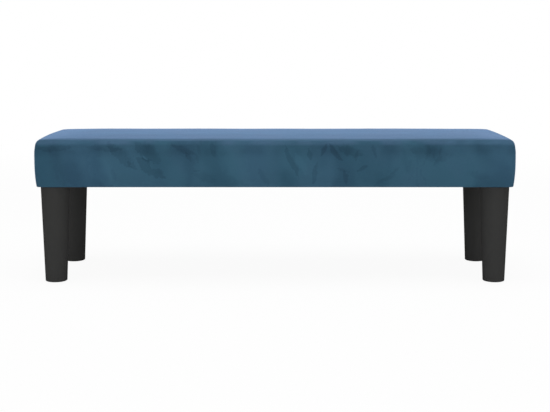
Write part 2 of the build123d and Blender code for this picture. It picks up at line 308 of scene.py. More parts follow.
napValues = {
    # the nap's patches, darker and lighter, and its two other hues
    "middle": (0.0262, 0.0700, 0.1110, 1),
    "light": (0.0353, 0.0910, 0.1400, 1),
    "violet": (0.0362, 0.0775, 0.1550, 1),
    "teal": (0.0236, 0.0890, 0.1220, 1),
    "sheenTint": (0.375, 0.58, 1.0, 1),
    "sheen": 0.585,
    "sheenRoughness": 0.28,
    "gloss": 0.04,
    "grainScale": 850.0,
    "patchScale": 60.0,
    "relief": 0.3 * mm,
    "lean": 35.0,               # degrees that the patches lean from upright
    "cloudScale": 13.0,         # the patches of lighter nap, and those of another hue
    "hueScale": 9.0,
    "warp": 9 * mm,             # how far the marks' edges wander
    "warpScale": 30.0,
    "fray": 1.4,                # how ragged the marks' edges are
    "frayScale": 110.0,
    "spotTone": 0.08,           # small dark flecks, in clusters
    "spotScale": 46.0,
    "clusterScale": 6.0,
    "spotFade": (0.34, 0.43),   # metres from the middle between which the flecks fade out
    # the lighter, bluer colour of the painted light on the top and edges
    "paintedLightColour": (0.060, 0.112, 0.190, 1),
    "topPaintedLight": 0.28,           # how far the top is painted in that lighter colour, as painted light from above
    "topEnds": (4.5 * mm, 1.5 * mm),    # how far below the highest level that starts and is full
    "edgeHighlightShare": 0.30,          # more of that painted light just inside the edges, a painted highlight
    "edgeHighlightBand": (12 * mm, 26 * mm, 44 * mm, 80 * mm),   # insets where that starts, is full, is full, ends
    "paintedShadeBand": (0.260, 0.278, 0.287, 0.293),          # heights of the painted shade under the edge
    "paintedShadeTone": -0.11,
    "paintedShadeScale": 22.0,         # of the noise that makes it uneven
    "paintedHighlightBand": (0.2860, 0.2935, 0.2970, 0.2995),      # heights of the painted highlight on the rounded edge
    "paintedHighlightShare": 0.28,
    "paintedHighlightScale": 15.0,         # of the noise that makes it uneven
    "markTone": 1.25,           # how strongly the marks show
    "sideFace": (0.128, 0.136), # metres from the middle between which the marks set in, front and back
    "endFace": (0.478, 0.486),  # and on the ends
    "backStart": 0.07,          # which stretch of the marks lies on the back and on each end
    "endStart": 0.275,
    "endGap": 0.055,
    "blueKept": 0.06,           # how much less the marks darken blue than red and green
}

brushMarks = [
    # x and z in metres, half length and half width in mm, lean in degrees, soft share, change of tone
    (-0.312, 0.2690, 46, 15, 43, 0.7, -0.11),
    (-0.260, 0.2750, 36, 19, 38, 0.6, -0.12),
    (-0.255, 0.2440, 44, 13, 37, 0.45, -0.14),
    (-0.296, 0.2500, 10, 4, 62, 0.6, -0.10),
    (-0.247, 0.2480, 14, 7, 36, 0.8, 0.11),
    (-0.267, 0.2645, 9, 2.2, 44, 0.9, 0.22),
    (-0.330, 0.2300, 16, 7, 70, 0.9, -0.07),
    (-0.352, 0.2420, 46, 32, 60, 0.9, 0.07),
    (-0.420, 0.2480, 70, 38, 60, 0.9, -0.05),
    (-0.450, 0.2840, 44, 9, 0, 0.9, -0.10),
    (-0.347, 0.2840, 46, 8, 4, 0.9, -0.09),
    (-0.190, 0.2815, 30, 9, 24, 0.7, -0.11),
    (-0.177, 0.2660, 14, 5, 62, 0.6, -0.10),
    (-0.159, 0.2620, 11, 4.5, 72, 0.8, -0.08),
    (-0.160, 0.2380, 9, 3.5, 4, 0.6, -0.10),
    (-0.144, 0.2240, 30, 13, 20, 0.9, -0.06),
    (-0.125, 0.2800, 20, 8, 80, 0.9, -0.09),
    (-0.083, 0.2520, 60, 32, 50, 0.9, 0.05),
    (-0.022, 0.2260, 24, 10, 62, 0.9, -0.08),
    (0.034, 0.2560, 42, 8, 68, 0.8, -0.13),
    (0.054, 0.2530, 32, 11, 62, 0.9, 0.06),
    (0.072, 0.2700, 16, 7, 80, 0.7, -0.12),
    (0.083, 0.2310, 26, 8, 100, 0.7, -0.11),
    (0.100, 0.2780, 17, 5, 116, 0.5, -0.15),
    (0.124, 0.2740, 25, 6, 52, 0.5, -0.16),
    (0.156, 0.2790, 30, 12, 18, 0.7, -0.12),
    (0.168, 0.2690, 13, 6, 100, 0.6, -0.09),
    (0.178, 0.2430, 15, 5, 150, 0.6, -0.13),
    (0.144, 0.2220, 19, 6, 76, 0.6, -0.13),
    (0.139, 0.2380, 16, 4.5, 20, 0.8, -0.09),
    (0.203, 0.2780, 17, 5.5, 70, 0.7, -0.10),
    (0.246, 0.2360, 15, 4.5, 142, 0.6, -0.10),
    (0.226, 0.2180, 26, 7, 152, 0.8, -0.08),
    (0.318, 0.2740, 50, 20, 8, 0.9, -0.07),
    (0.333, 0.2570, 16, 7, 130, 0.8, -0.08),
    (0.420, 0.2280, 28, 10, 8, 0.9, -0.06),
]


def brushMarkGroup():  # one brushed mark: a pointed leaf, crisp on its lower side and soft on its upper
    sockets = [
        ("Vector", "Vector", None),
        ("Place", "Vector", None),
        ("Turn", "Vector", None),
        ("Half Size", "Vector", None),
        ("Soft Share", "Float", 0.5),
        ("Fray", "Float", 0.0),
    ]
    group, given = newGroup("brushMark", sockets, [("Mask", "Float")])
    fitted = {
        "Vector": given["Vector"],
        "Location": given["Place"],
        "Rotation": given["Turn"],
        "Scale": given["Half Size"],
    }
    axes = axesOf(group, addNode(group, "ShaderNodeMapping", fitted, vector_type="TEXTURE").outputs[0])
    pointed = plus(group, times(group, axes["X"], axes["X"]), calc(group, "ABSOLUTE", axes["Z"]))
    radius = plus(group, pointed, given["Fray"])
    upper = remap(group, axes["Z"], -0.4, 0.5, 0.25, 1.0)
    core = minus(group, 1.0, times(group, given["Soft Share"], upper))
    addNode(group, "NodeGroupOutput", {"Mask": remap(group, radius, core, 1.0, 1.0, 0.0)})
    return group


def band(tree, value, limits):  # 1 between the two inner limits, 0 outside the outer ones
    lowest, low, high, highest = limits
    return times(tree, remap(tree, value, lowest, low), remap(tree, value, high, highest, 1.0, 0.0))


def velvetPlaces(tree, place, values):  # the places that the velvet's patterns are read at
    axes = axesOf(tree, place)
    wobble = noiseAt(tree, place, values["warpScale"], 5.0, 0.68)["Color"]
    brushed = shifted(tree, place, wobble, 2 * values["warp"])
    return {
        "place": place,
        "axes": axes,
        "along": calc(tree, "ABSOLUTE", axes["X"]),     # distance from the middle, towards an end
        "aside": calc(tree, "ABSOLUTE", axes["Y"]),     # and towards the front or back
        "brushed": brushed,
        "leaning": mapped(tree, brushed, (1.0, 0.8, 0.45), (0, math.radians(-values["lean"]), 0)),
    }


def roundTheSides(tree, at, values):  # X runs along whichever side a point is on, read from outside
    place, axes = axesOf(tree, at["brushed"]), at["axes"]
    endOut, sideOut = minus(tree, at["along"], coverHigh.x), minus(tree, at["aside"], coverHigh.y)
    atEnd = calc(tree, "GREATER_THAN", endOut, sideOut)
    behind = calc(tree, "GREATER_THAN", axes["Y"], 0.0)
    side = mixValue(tree, behind, place["X"], minus(tree, values["backStart"], place["X"]))
    facing = calc(tree, "SIGN", axes["X"])
    start = plus(tree, times(tree, facing, values["endStart"]), values["endGap"])
    end = plus(tree, times(tree, place["Y"], facing), start)
    return vectorOf(tree, mixValue(tree, atEnd, side, end), 0.0, place["Z"])


def markTones(tree, at, values, marks):
    ragged = noiseAt(tree, at["place"], values["frayScale"], 3.0, 0.6)[0]
    fray = times(tree, minus(tree, ragged, 0.5), values["fray"])
    onSides = roundTheSides(tree, at, values)
    markGroup = brushMarkGroup()
    tone = 0.0
    for x, z, halfLength, halfWidth, turn, soft, change in marks:
        inputs = {
            "Vector": onSides,
            "Place": (x, 0.0, z),
            "Turn": (0.0, math.radians(turn), 0.0),
            "Half Size": (halfLength * mm, 1.0, halfWidth * mm),
            "Soft Share": soft,
            "Fray": fray,
        }
        mask = useGroup(tree, markGroup, inputs)["Mask"]
        tone = plus(tree, tone, times(tree, mask, change))
    onSide = remap(tree, at["aside"], *values["sideFace"])
    onEnd = remap(tree, at["along"], *values["endFace"])
    return times(tree, tone, times(tree, calc(tree, "MAXIMUM", onSide, onEnd), values["markTone"]))


def spotTones(tree, at, values):
    spots = remap(tree, noiseAt(tree, at["leaning"], values["spotScale"], 2.5, 0.55, 0.8)[0], 0.60, 0.68)
    calm = remap(tree, at["along"], *values["spotFade"], 1.0, 0.0)
    cluster = remap(tree, noiseAt(tree, at["place"], values["clusterScale"], 1.0)[0], 0.45, 0.6)
    return times(tree, times(tree, spots, times(tree, calm, cluster)), values["spotTone"])


def paintedShadeTones(tree, at, values):  # painted shade: darker velvet just under the edge
    uneven = remap(tree, noiseAt(tree, at["place"], values["paintedShadeScale"], 2.0)[0], 0.35, 0.62, 0.35, 1.5)
    paintedShadeMask = times(tree, band(tree, at["axes"]["Z"], values["paintedShadeBand"]), uneven)
    return times(tree, paintedShadeMask, values["paintedShadeTone"])


def paintedLightShare(tree, at, values):  # painted light: how much of the lighter colour the velvet takes, on the top, and a little on the edge
    starts, full = values["topEnds"]
    onTop = remap(tree, at["axes"]["Z"], coverHigh.z - starts, coverHigh.z - full)
    fromSide, fromEnd = minus(tree, coverHigh.y, at["aside"]), minus(tree, coverHigh.x, at["along"])
    nearEdge = band(tree, calc(tree, "MINIMUM", fromSide, fromEnd), values["edgeHighlightBand"])
    # painted light on the top, with more of it just inside the edges
    flat = times(tree, onTop, plus(tree, times(tree, nearEdge, values["edgeHighlightShare"]), values["topPaintedLight"]))
    # painted highlight on the rounded edge, made patchy by a noise
    highlightPatches = remap(tree, noiseAt(tree, at["place"], values["paintedHighlightScale"], 3.0)[0], 0.36, 0.64, 0.1, 1.7)
    paintedHighlightMask = times(tree, band(tree, at["axes"]["Z"], values["paintedHighlightBand"]), highlightPatches)
    return calc(tree, "MAXIMUM", flat, times(tree, paintedHighlightMask, values["paintedHighlightShare"]))


def velvetMaterial(values, marks):
    fixed = {
        "Sheen Weight": values["sheen"],
        "Sheen Roughness": values["sheenRoughness"],
        "Sheen Tint": values["sheenTint"],
        "Specular IOR Level": values["gloss"],
    }
    material, tree, surface, place = startMaterial("velvet", fixed)
    at = velvetPlaces(tree, place, values)
    patches = remap(tree, noiseAt(tree, at["leaning"], values["cloudScale"], 1.5, 0.5, 0.3)[0], 0.40, 0.60)
    hue = remap(tree, noiseAt(tree, at["leaning"], values["hueScale"], 1.0, 0.5, 0.2)[0], 0.35, 0.65)
    fine = fineAt(tree, place, values)

    tone = minus(tree, markTones(tree, at, values, marks), spotTones(tree, at, values))
    # painted shade darkens the strip under the edge
    tone = plus(tree, tone, paintedShadeTones(tree, at, values))
    tone = plus(tree, tone, remap(tree, fine["Grain"], 0.2, 0.8, -0.07, 0.07))
    level = plus(tree, tone, 1.0)
    blueLevel = plus(tree, times(tree, tone, 1.0 - values["blueKept"]), 1.0)

    colour = mixColour(tree, patches, values["middle"], values["light"])
    colour = mixColour(tree, remap(tree, hue, 0.55, 1.0, 0.0, 0.1), colour, values["violet"])
    colour = mixColour(tree, remap(tree, hue, 0.0, 0.4, 0.15, 0.0), colour, values["teal"])
    # painted light and highlights: the top and edges mixed towards the lighter colour
    colour = mixColour(tree, paintedLightShare(tree, at, values), colour, values["paintedLightColour"])
    colour = mixColour(tree, 1.0, colour, vectorOf(tree, level, level, blueLevel), "MULTIPLY")
    pile = plus(tree, fine["Grain"], times(tree, fine["Patches"], 1.5))
    rough = remap(tree, patches, 0.0, 1.0, 0.82, 0.92)
    dress(tree, surface, colour, pile, 0.25, values["relief"], rough)
    return material


# Finishes of the pieces inside and under the seat, and of the legs

foamFinish = {
    "dark": (0.72, 0.66, 0.49, 1),
    "light": (0.82, 0.78, 0.63, 1),
    "pore": (0.48, 0.42, 0.29, 1),
    "poreScale": 700.0,
    "grainScale": 260.0,
    "patchScale": 8.0,
    "relief": 0.5 * mm,
}


def foamMaterial(values):
    fixed = {"Specular IOR Level": 0.2, "Roughness": 0.95}
    material, tree, surface, place = startMaterial("openCellFoam", fixed)
    pores = {"Vector": place, "Scale": values["poreScale"]}
    cells = addNode(tree, "ShaderNodeTexVoronoi", pores).outputs["Distance"]
    fine = fineAt(tree, place, values)
    colour = mixColour(tree, fine["Patches"], values["dark"], values["light"])
    colour = mixColour(tree, remap(tree, cells, 0.25, 0.6, 0.0, 0.55), colour, values["pore"])
    dress(tree, surface, colour, plus(tree, cells, fine["Grain"]), 0.6, values["relief"])
    return material


waddingFinish = {
    "dark": (0.74, 0.74, 0.72, 1),
    "light": (0.88, 0.88, 0.86, 1),
    "strand": (0.6, 0.6, 0.58, 1),
    "strandScale": 900.0,
    "grainScale": 300.0,
    "patchScale": 25.0,
    "relief": 0.8 * mm,
}


def waddingMaterial(values):
    fixed = {"Specular IOR Level": 0.2, "Sheen Weight": 0.4, "Sheen Roughness": 0.5}
    material, tree, surface, place = startMaterial("polyesterWadding", fixed)
    fibre = mapped(tree, place, (0.25, 0.25, 1.0))
    strands = noiseAt(tree, fibre, values["strandScale"], 4.0, 0.7, 1.5)[0]
    fine = fineAt(tree, place, values)
    colour = mixColour(tree, fine["Patches"], values["dark"], values["light"])
    colour = mixColour(tree, remap(tree, strands, 0.55, 0.7, 0.0, 0.4), colour, values["strand"])
    rough = remap(tree, strands, 0.3, 0.7, 0.8, 0.95)
    dress(tree, surface, colour, plus(tree, strands, fine["Patches"]), 0.7, values["relief"], rough)
    return material


dustClothFinish = {
    "dark": (0.008, 0.008, 0.009, 1),
    "light": (0.02, 0.02, 0.022, 1),
    "bond": (0.004, 0.004, 0.004, 1),
    "bondScale": 480.0,
    "grainScale": 1500.0,
    "patchScale": 40.0,
    "relief": 0.15 * mm,
}


def dustClothMaterial(values):  # pressed fibres with a grid of small bonding dots
    material, tree, surface, place = startMaterial("nonWovenCloth", {"Specular IOR Level": 0.25})
    grid = {"Vector": place, "Scale": values["bondScale"], "Randomness": 0.0}
    dots = addNode(tree, "ShaderNodeTexVoronoi", grid, voronoi_dimensions="2D").outputs["Distance"]
    bond = remap(tree, dots, 0.22, 0.32, 1.0, 0.0)
    fine = fineAt(tree, place, values)
    colour = mixColour(tree, fine["Patches"], values["dark"], values["light"])
    colour = mixColour(tree, times(tree, bond, 0.5), colour, values["bond"])
    rough = remap(tree, bond, 0.0, 1.0, 0.9, 0.6)
    dress(tree, surface, colour, minus(tree, fine["Grain"], bond), 0.4, values["relief"], rough)
    return material


timberFinish = {
    "dark": (0.62, 0.44, 0.25, 1),
    "light": (0.70, 0.53, 0.33, 1),
    "line": (0.45, 0.27, 0.12, 1),
    "pore": (0.33, 0.2, 0.1, 1),
    "lineScale": 110.0,
    "wander": 0.02,
    "relief": 0.15 * mm,
}


def timberMaterial(name, turn, values):  # planed softwood with its grain turned along the piece
    material, tree, surface, place = startMaterial(name, {"Specular IOR Level": 0.3})
    grain = grainAt(tree, mapped(tree, place, (1, 1, 1), (0, 0, turn)), values)
    colour = mixColour(tree, grain["Drift"], values["dark"], values["light"])
    colour = mixColour(tree, remap(tree, grain["Lines"], 0.45, 1.0, 0.0, 0.7), colour, values["line"])
    colour = mixColour(tree, remap(tree, grain["Pores"], 0.6, 0.75, 0.0, 0.35), colour, values["pore"])
    rough = remap(tree, grain["Lines"], 0.0, 1.0, 0.62, 0.78)
    dress(tree, surface, colour, plus(tree, grain["Lines"], grain["Pores"]), 0.3, values["relief"], rough)
    return material


plyFinish = {
    "ply": 1.5 * mm,
    "dark": (0.55, 0.40, 0.24, 1),
    "light": (0.66, 0.50, 0.32, 1),
    "line": (0.36, 0.24, 0.13, 1),
    "lineScale": 60.0,
    "wander": 0.04,
    "relief": 0.15 * mm,
}


def plywoodMaterial(values):  # face veneer on top and below, plies that show on the edges
    material, tree, surface, place = startMaterial("plywood", {"Specular IOR Level": 0.3})
    grain = grainAt(tree, place, values)
    step = calc(tree, "FRACT", over(tree, axesOf(tree, place)["Z"], 2 * values["ply"]))
    cross = remap(tree, step, 0.48, 0.52)
    facing = addNode(tree, "ShaderNodeNewGeometry").outputs["Normal"]
    upright = calc(tree, "ABSOLUTE", axesOf(tree, facing)["Z"])
    onEdge = remap(tree, upright, 0.3, 0.7, 1.0, 0.0)
    colour = mixColour(tree, grain["Drift"], values["dark"], values["light"])
    colour = mixColour(tree, remap(tree, grain["Lines"], 0.5, 1.0, 0.0, 0.5), colour, values["line"])
    colour = mixColour(tree, times(tree, cross, times(tree, onEdge, 0.6)), colour, values["line"])
    rough = remap(tree, grain["Pores"], 0.3, 0.7, 0.65, 0.8)
    dress(tree, surface, colour, plus(tree, grain["Pores"], cross), 0.3, values["relief"], rough)
    return material


metalFinishes = {
    # name: (plating, its cloudier patches, least roughness)
    "zincPlate": ((0.56, 0.57, 0.60, 1), (0.42, 0.43, 0.45, 1), 0.3),
    "yellowZinc": ((0.62, 0.49, 0.24, 1), (0.45, 0.38, 0.28, 1), 0.3),
    "stapleWire": ((0.6, 0.6, 0.62, 1), (0.46, 0.46, 0.47, 1), 0.35),
}
platingValues = {"grainScale": 2600.0, "patchScale": 160.0, "relief": 0.05 * mm, "rougher": 0.18}


def metalMaterial(name, plating, cloudy, roughness, values):  # plated steel, slightly clouded
    material, tree, surface, place = startMaterial(name, {})
    fine = fineAt(tree, place, values)
    colour = mixColour(tree, remap(tree, fine["Patches"], 0.35, 0.7), plating, cloudy)
    rough = remap(tree, fine["Patches"], 0.3, 0.7, roughness, roughness + values["rougher"])
    tree.links.new(remap(tree, fine["Patches"], 0.0, 1.0, 1.0, 0.9), surface.inputs["Metallic"])
    dress(tree, surface, colour, fine["Grain"], 0.15, values["relief"], rough)
    return material


legFinish = {
    "dark": (0.035, 0.035, 0.0345, 1),
    "light": (0.0405, 0.0405, 0.0395, 1),
    "grain": (0.027, 0.027, 0.0265, 1),
    "scuff": (0.07, 0.07, 0.068, 1),
    "scuffScale": 160.0,
    "scuffHeights": (4 * mm, 50 * mm),  # between these heights the scuffs thin out
    "grainScale": 1300.0,
    "patchScale": 18.0,
    "relief": 0.12 * mm,
}


def legMaterial(values):  # matt moulding, scuffed a little towards the foot
    material, tree, surface, place = startMaterial("legMoulding", {"Specular IOR Level": 0.0})
    fine = fineAt(tree, place, values)
    streak = mapped(tree, place, (1.0, 1.0, 0.25))
    scuffs = remap(tree, noiseAt(tree, streak, values["scuffScale"], 4.0, 0.7, 1.0)[0], 0.66, 0.74)
    thinned = remap(tree, axesOf(tree, place)["Z"], *values["scuffHeights"], 0.6, 0.08)
    scuffs = times(tree, scuffs, thinned)
    colour = mixColour(tree, fine["Patches"], values["dark"], values["light"])
    colour = mixColour(tree, remap(tree, fine["Grain"], 0.35, 0.65, 0.0, 0.25), colour, values["grain"])
    colour = mixColour(tree, times(tree, scuffs, 0.5), colour, values["scuff"])
    rough = plus(tree, remap(tree, fine["Patches"], 0.3, 0.7, 0.5, 0.58), times(tree, scuffs, 0.15))
    dress(tree, surface, colour, fine["Grain"], 0.35, values["relief"], rough)
    return material


glideFinish = {
    "dark": (0.012, 0.012, 0.012, 1),
    "light": (0.03, 0.03, 0.03, 1),
    "grainScale": 2000.0,
    "patchScale": 90.0,
    "relief": 0.1 * mm,
}


def glideMaterial(values):  # matt moulding with a fine grain
    material, tree, surface, place = startMaterial("glideMoulding", {"Specular IOR Level": 0.3})
    fine = fineAt(tree, place, values)
    colour = mixColour(tree, fine["Grain"], values["dark"], values["light"])
    rough = remap(tree, fine["Patches"], 0.3, 0.7, 0.55, 0.7)
    dress(tree, surface, colour, fine["Grain"], 0.3, values["relief"], rough)
    return material


velvet = velvetMaterial(napValues, brushMarks)
foam = foamMaterial(foamFinish)
wadding = waddingMaterial(waddingFinish)
dustCloth = dustClothMaterial(dustClothFinish)
timberAlongX = timberMaterial("timberAlongX", 0.0, timberFinish)
timberAlongY = timberMaterial("timberAlongY", math.pi / 2, timberFinish)
plywood = plywoodMaterial(plyFinish)
metals = {name: metalMaterial(name, *finish, platingValues) for name, finish in metalFinishes.items()}
legMoulding = legMaterial(legFinish)
glideMoulding = glideMaterial(glideFinish)
print("materials ready:", len(bpy.data.materials))


# The padded seat's form, shared by the cover, the foam and the wadding

boardLow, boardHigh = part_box("seat_board")
railLow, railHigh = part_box("front_rail")

seatForm = {
    "fabric": 1.2 * mm,
    "fabricGap": 0.3 * mm,      # between the fabric and the pad
    "edgeDrop": 0.2 * mm,       # from the highest level to where the rounded edge ends
    "crownRise": 3.5 * mm,      # how far the top's middle is raised, and the width of its level strip
    "crownFlat": 60 * mm,
    "edgeRadius": 16.5 * mm,
    "edgeSteps": 10,
    "edgeFill": 2.2 * mm,       # how much fuller the front and back edges are between the corners
    "fillFrom": 20 * mm,        # distances from a corner where the edges start and stop filling out
    "fillTo": 80 * mm,
    "fillTurn": 45,             # how far the edge has turned from level, in degrees, where that is most
    "fillSpread": 0.08,
    "endFill": 0.8 * mm,        # the two ends' edges are fuller above their shoulder and drawn in below it
    "endFillTurn": 20,
    "endDraw": 1.9 * mm,
    "endDrawTurn": 80,
    "endSpread": 0.22,
    "fullHeight": 64 * mm,      # above the lower edge, from where the sides are fullest
    "drawIn": 9 * mm,           # how far in the lower edge is
    "drawInPower": 3.5,         # the higher, the closer to the lower edge the sides turn in
    "cornerHold": 5 * mm,       # how much farther out the sides' middles are than the corners
    "lowerCornerHold": 0.3 * mm,  # the same at the lower edge
    "cornerRadius": 14 * mm,
    "lowerCornerRadius": 5 * mm,
    "driftHeight": 0.45 * mm,   # how far the padding's slow unevenness reaches
    "driftScale": 9.0,
    "rippleHeight": 0.12 * mm,
    "rippleScale": 31.0,
}
underCover = seatForm["fabric"] + seatForm["fabricGap"]
edgeTop = coverHigh.z - seatForm["edgeDrop"]
edgeStart = edgeTop - seatForm["edgeRadius"]


def seatRing(inset, hold, radius, level, steps):
    # one level of the seat, from the middle of the front round by the right: the sides bow out by hold
    along, across, corner = steps
    halfLength, halfDepth = coverHigh.x - inset, coverHigh.y - inset
    cornerX, cornerY = halfLength - hold, halfDepth - hold
    toFront = Vector((-1, -2 * hold / cornerX)).normalized()
    toEnd = Vector((2 * hold / cornerY, 1)).normalized()
    half = toFront.angle(toEnd) / 2
    reach = radius / math.tan(half)
    tip = Vector((cornerX, -cornerY))
    centre = tip + (toFront + toEnd).normalized() * radius / math.sin(half)
    first, last = tip + toFront * reach - centre, tip + toEnd * reach - centre
    startTurn, endTurn = math.atan2(first.y, first.x), math.atan2(last.y, last.x)
    quarter = []
    straight = along // 2 - corner
    for i in range(straight):
        x = (centre.x + first.x) * i / straight
        quarter.append((x, hold * (x / cornerX) ** 2 - halfDepth))
    for i in range(2 * corner + 1):
        turn = startTurn + (endTurn - startTurn) * i / (2 * corner)
        quarter.append((centre.x + radius * math.cos(turn), centre.y + radius * math.sin(turn)))
    straight = across // 2 - corner
    for i in range(1, straight + 1):
        y = (centre.y + last.y) * (1 - i / straight)
        quarter.append((halfLength - hold * (y / cornerY) ** 2, y))
    back = [(x, -y) for x, y in reversed(quarter)][1:]
    left = [(-x, -y) for x, y in quarter][1:]
    home = [(-x, y) for x, y in reversed(quarter)][1:-1]
    return [Vector((x, y, level)) for x, y in quarter + back + left + home]


def sideRing(level, layer, steps):  # one level of the sides, a layer's depth inside the cover's face
    fullness = min((level - coverLow.z) / seatForm["fullHeight"], 1)
    drawn = (1 - fullness) ** seatForm["drawInPower"]
    hold = seatForm["cornerHold"] + (seatForm["lowerCornerHold"] - seatForm["cornerHold"]) * drawn
    radius = seatForm["cornerRadius"] + (seatForm["lowerCornerRadius"] - seatForm["cornerRadius"]) * drawn
    return seatRing(seatForm["drawIn"] * drawn + layer, hold, radius - layer, level, steps)


def edgeRings(layer, steps):  # the rounded edge between the sides and the top
    radius = seatForm["edgeRadius"] - layer
    rings = []
    for i in range(1, seatForm["edgeSteps"] + 1):
        turn = math.pi / 2 * i / seatForm["edgeSteps"]
        inset = seatForm["edgeRadius"] - radius * math.cos(turn)
        level = edgeStart + radius * math.sin(turn)
        rings.append(seatRing(inset, seatForm["cornerHold"], seatForm["cornerRadius"] - layer, level, steps))
    return rings


def levels(low, high, count):  # evenly spaced, with both ends
    return [low + (high - low) * i / count for i in range(count + 1)]


def addRings(points, faces, rings):
    size = len(rings[0])
    for ring in rings:
        points.extend(ring)
    for r in range(len(rings) - 1):
        for i in range(size):
            j = (i + 1) % size
            faces.append((r * size + i, r * size + j, (r + 1) * size + j, (r + 1) * size + i))


def addPatch(points, faces, start, steps, crown, flip):
    # fills the ring of points that begins at start with a grid between its four sides, raised by crown
    along, across, _ = steps
    size = 2 * (along + across)
    loop = [start + (i - along // 2) % size for i in range(size)]
    front, right = loop[:along + 1], loop[along:along + across + 1]
    rear = loop[along + across:2 * along + across + 1][::-1]
    left = (loop[2 * along + across:] + loop[:1])[::-1]
    grid = [front]
    for j in range(1, across):
        v = j / across
        row = [left[j]]
        for i in range(1, along):
            u = i / along
            spread = points[front[i]] * (1 - v) + points[rear[i]] * v + points[left[j]] * (1 - u)
            spread += points[right[j]] * u
            corners = points[front[0]] * (1 - u) * (1 - v) + points[front[-1]] * u * (1 - v)
            corners += points[rear[0]] * (1 - u) * v + points[rear[-1]] * u * v
            row.append(len(points))
            points.append(spread - corners)
        row.append(right[j])
        grid.append(row)
    grid.append(rear)
    edge = seatForm["edgeRadius"]
    run = coverHigh.y - seatForm["crownFlat"] / 2 - edge
    for row in grid[1:-1]:
        for index in row[1:-1]:
            p = points[index]
            inX = min((coverHigh.x - edge - abs(p.x)) / run, 1)
            inY = min((coverHigh.y - edge - abs(p.y)) / run, 1)
            p.z += crown * max(0, 1 - (1 - inX) ** 2) * max(0, 1 - (1 - inY) ** 2)
    for j in range(across):
        for i in range(along):
            face = (grid[j][i], grid[j][i + 1], grid[j + 1][i + 1], grid[j + 1][i])
            faces.append(face[::-1] if flip else face)


def ramp(distance, run):  # 0 where the distance starts, 1 from the run onwards
    return min(max(distance / run, 0), 1)


def eased(share):
    return share * share * (3 - 2 * share)


def nearTurn(inset, p, turn, spread):  # 1 where the edge has turned by that many degrees, 0 away from it
    radius, turned = seatForm["edgeRadius"], math.radians(turn)
    across = inset / radius - 1 + math.sin(turned)
    down = (edgeTop - p.z) / radius - 1 + math.cos(turned)
    return math.exp(-(across ** 2 + down ** 2) / spread)


def drift(p):  # how the stuffing departs from the plain form, the same for the cover and what lies under it
    form = seatForm
    slow = noise.noise(p * form["driftScale"]) * form["driftHeight"]
    ripple = noise.noise(p * form["rippleScale"]) * form["rippleHeight"]
    fromEnd, fromSide = coverHigh.x - abs(p.x), coverHigh.y - abs(p.y)
    fade = eased(ramp(fromEnd - form["fillFrom"], form["fillTo"] - form["fillFrom"]))
    fuller = nearTurn(fromSide, p, form["fillTurn"], form["fillSpread"]) * fade * form["edgeFill"]
    fuller += nearTurn(fromEnd, p, form["endFillTurn"], form["endSpread"]) * form["endFill"]
    drawnIn = nearTurn(fromEnd, p, form["endDrawTurn"], form["endSpread"]) * form["endDraw"]
    return slow + ripple + fuller - drawnIn


def newPiece(name, points, faces, material):
    mesh = bpy.data.meshes.new(name)
    mesh.from_pydata([tuple(p) for p in points], [], faces)
    mesh.validate()
    mesh.shade_smooth()
    mesh.materials.append(material)
    piece = bpy.data.objects.new(name, mesh)
    bpy.context.scene.collection.objects.link(piece)
    return piece


def applyModifiers(piece):
    depsgraph = bpy.context.evaluated_depsgraph_get()
    finished = bpy.data.meshes.new_from_object(piece.evaluated_get(depsgraph))
    old = piece.data
    piece.modifiers.clear()
    piece.data = finished
    finished.name = piece.name
    bpy.data.meshes.remove(old)


def moveAlongNormals(piece, distance):  # distance gives each point's step from its place
    mesh = piece.data
    normals = [v.normal.copy() for v in mesh.vertices]
    for vertex, normal in zip(mesh.vertices, normals):
        vertex.co += normal * distance(vertex.co)
    mesh.update()


def declare(piece, node):
    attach(piece, "root")
    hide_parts(node)


# Velvet cover: the fabric over the pad, turned under the rails

coverValues = {
    "steps": (200, 60, 5),      # along, across, and from a corner's middle to its end
    "sideSteps": 17,
    "hemInset": 26 * mm,        # from the fullest sides in to the hem's edge
    "hemSteps": 6,
    "lowerRounding": 2.4 * mm,  # of the fold round the lower edge
    "lowerSteps": 4,
    "lowerRun": 20 * mm,        # above the lower edge, where the stuffing starts to tell
    "takenIn": 0.3 * mm,        # the shape that the stuffing then fills out
    "cap": 0.9 * mm,            # the most that the stuffing moves a point
    "pressure": 1.0,
    "stretch": 60.0,            # stiffness of the cloth against stretching, and against bending
    "bend": 5.0,
    "quality": 5,               # the cloth solver's steps in each frame
    "frames": 10,
}


def coverSkin(values):
    steps, rounding, low = values["steps"], values["lowerRounding"], coverLow.z
    hold, cornerRadius = seatForm["lowerCornerHold"], seatForm["lowerCornerRadius"]
    insets = levels(values["hemInset"], seatForm["drawIn"] + rounding, values["hemSteps"])
    hem = [seatRing(inset, hold, cornerRadius, low, steps) for inset in insets]
    sides = [sideRing(z, 0, steps) for z in levels(low + rounding, edgeStart, values["sideSteps"])]
    corner = sideRing(low, 0, steps)
    turned = []
    for i in range(1, values["lowerSteps"]):  # the fold round the rail's lower edge
        t = i / values["lowerSteps"]
        fold = zip(hem[-1], corner, sides[0])
        turned.append([a * (1 - t) ** 2 + b * 2 * t * (1 - t) + c * t * t for a, b, c in fold])
    points, faces = [], []
    rings = hem + turned + sides + edgeRings(0, steps)
    addRings(points, faces, rings)
    addPatch(points, faces, len(points) - len(rings[0]), steps, seatForm["crownRise"], False)
    return points, faces, len(rings[0]) * len(hem + turned)


